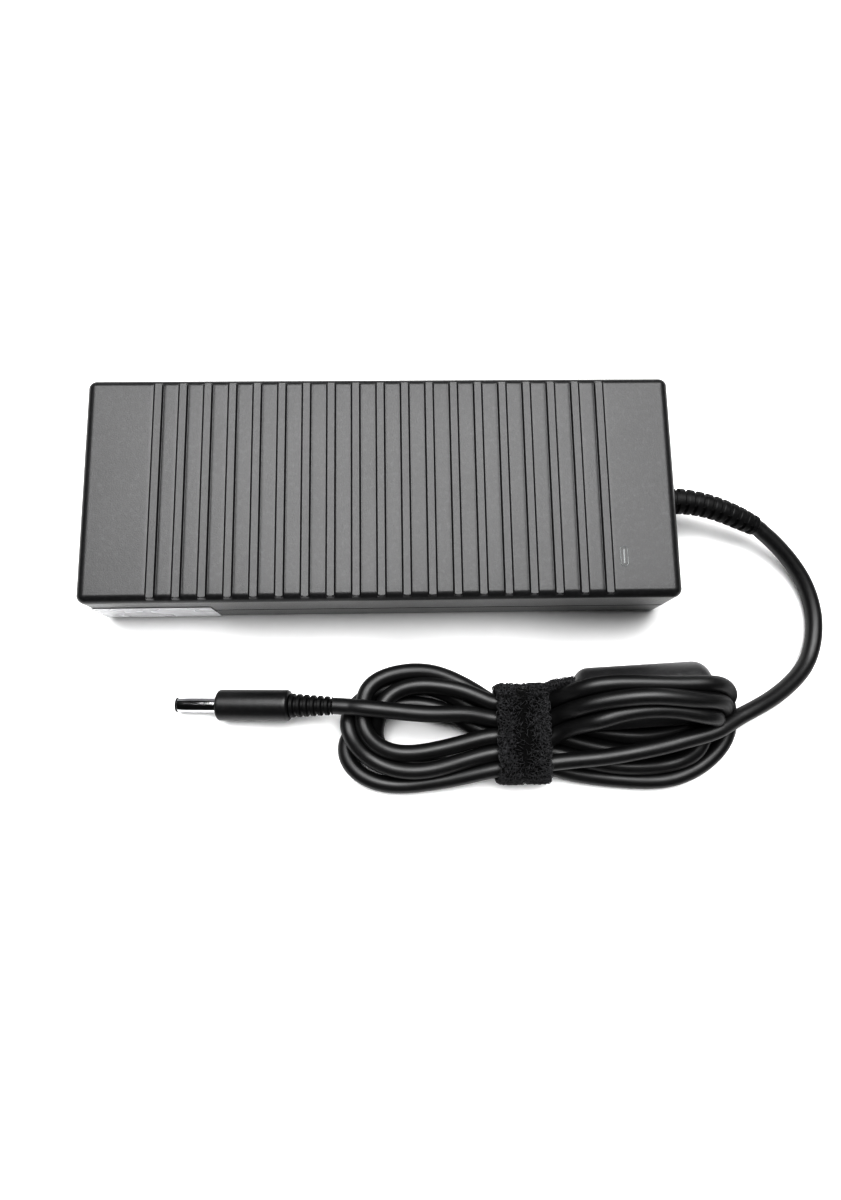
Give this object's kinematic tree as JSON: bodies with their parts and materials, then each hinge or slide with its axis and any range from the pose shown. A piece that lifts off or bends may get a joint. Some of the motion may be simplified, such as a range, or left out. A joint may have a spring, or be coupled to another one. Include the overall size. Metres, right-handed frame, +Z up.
{
  "type": "laptop power adapter",
  "caption": "External laptop power supply: flat ribbed black case with a mains inlet, a strapped coil of output cord with a ferrite, and a coaxial barrel plug.",
  "frame": {"origin": "centre of the case in plan, on the surface that its feet stand on", "axes": "+X along the case towards the output cord, +Y across the case away from the cord bundle, +Z up"},
  "size_m": [0.2206, 0.1207, 0.0265],
  "materials": {
    "case_plastic": "fine textured black moulded plastic",
    "boot_rubber": "satin black overmoulded elastomer",
    "foot_rubber": "matte black rubber",
    "cord_jacket": "satin black soft PVC jacket",
    "strap_fabric": "black hook-and-loop nylon",
    "seal_film": "blank light satin label",
    "rating_film": "blank dark satin label",
    "lens_clear": "translucent light pipe",
    "led_epoxy": "clear epoxy",
    "contact_chrome": "bright nickel plate",
    "contact_brass": "nickelled brass blade",
    "inlet_plastic": "smooth black thermoplastic",
    "insulator_plastic": "black insulating plastic",
    "heatsink_aluminium": "plain sheet aluminium",
    "board_laminate": "green solder-masked laminate",
    "insulating_film": "translucent insulating sheet",
    "winding_enamel": "enamelled copper wire",
    "winding_tape": "yellow insulating tape",
    "ferrite_core": "grey sintered ferrite",
    "device_epoxy": "black moulding compound",
    "capacitor_sleeve": "shrink sleeve",
    "disc_blue": "blue dipped coating",
    "box_yellow": "yellow moulded box",
    "fuse_ceramic": "pale ceramic tube",
    "wire_red": "red wire insulation",
    "wire_black": "black wire insulation"
  },
  "bodies": {
    "root": {"top_cover": "case_plastic", "bottom_cover": "case_plastic", "led_lens": "lens_clear", "indicator_led": "led_epoxy", "rating_label": "rating_film", "seal_label": "seal_film", "ac_inlet_housing": "inlet_plastic", "line_pin": "contact_brass", "neutral_pin": "contact_brass", "earth_pin": "contact_brass", "circuit_board": "board_laminate", "insulating_sheet": "insulating_film", "heat_spreader": "heatsink_aluminium", "primary_heatsink": "heatsink_aluminium", "secondary_heatsink": "heatsink_aluminium", "bridge_rectifier": "device_epoxy", "pfc_switch": "device_epoxy", "pfc_diode": "device_epoxy", "main_switch": "device_epoxy", "output_rectifier": "device_epoxy", "fuse": "fuse_ceramic", "varistor": "disc_blue", "x_capacitor": "box_yellow", "y_capacitor_1": "disc_blue", "y_capacitor_2": "disc_blue", "line_choke_core": "ferrite_core", "line_choke_winding": "winding_enamel", "pfc_inductor_core": "ferrite_core", "pfc_inductor_winding": "winding_enamel", "bulk_capacitor": "capacitor_sleeve", "transformer_core": "ferrite_core", "transformer_winding": "winding_tape", "output_choke": "ferrite_core", "optocoupler": "device_epoxy", "controller_chip": "device_epoxy", "output_wire_positive": "wire_red", "output_wire_negative": "wire_black", "cord_strain_relief": "boot_rubber", "cord_lead": "cord_jacket", "cord_hank": "cord_jacket", "cord_tail": "cord_jacket", "cord_in_ferrite": "cord_jacket", "ferrite_cover": "case_plastic", "ferrite_core": "ferrite_core", "hank_strap": "strap_fabric", "plug_grip": "case_plastic", "plug_strain_relief": "boot_rubber", "plug_barrel": "contact_chrome", "plug_insulator": "insulator_plastic", "plug_inner_sleeve": "contact_chrome", "plug_centre_pin": "contact_brass", "rubber_foot_1": "foot_rubber", "rubber_foot_2": "foot_rubber", "rubber_foot_3": "foot_rubber", "rubber_foot_4": "foot_rubber", "output_capacitor_1": "capacitor_sleeve", "output_capacitor_2": "capacitor_sleeve", "output_capacitor_3": "capacitor_sleeve"}
  },
  "joints": []
}
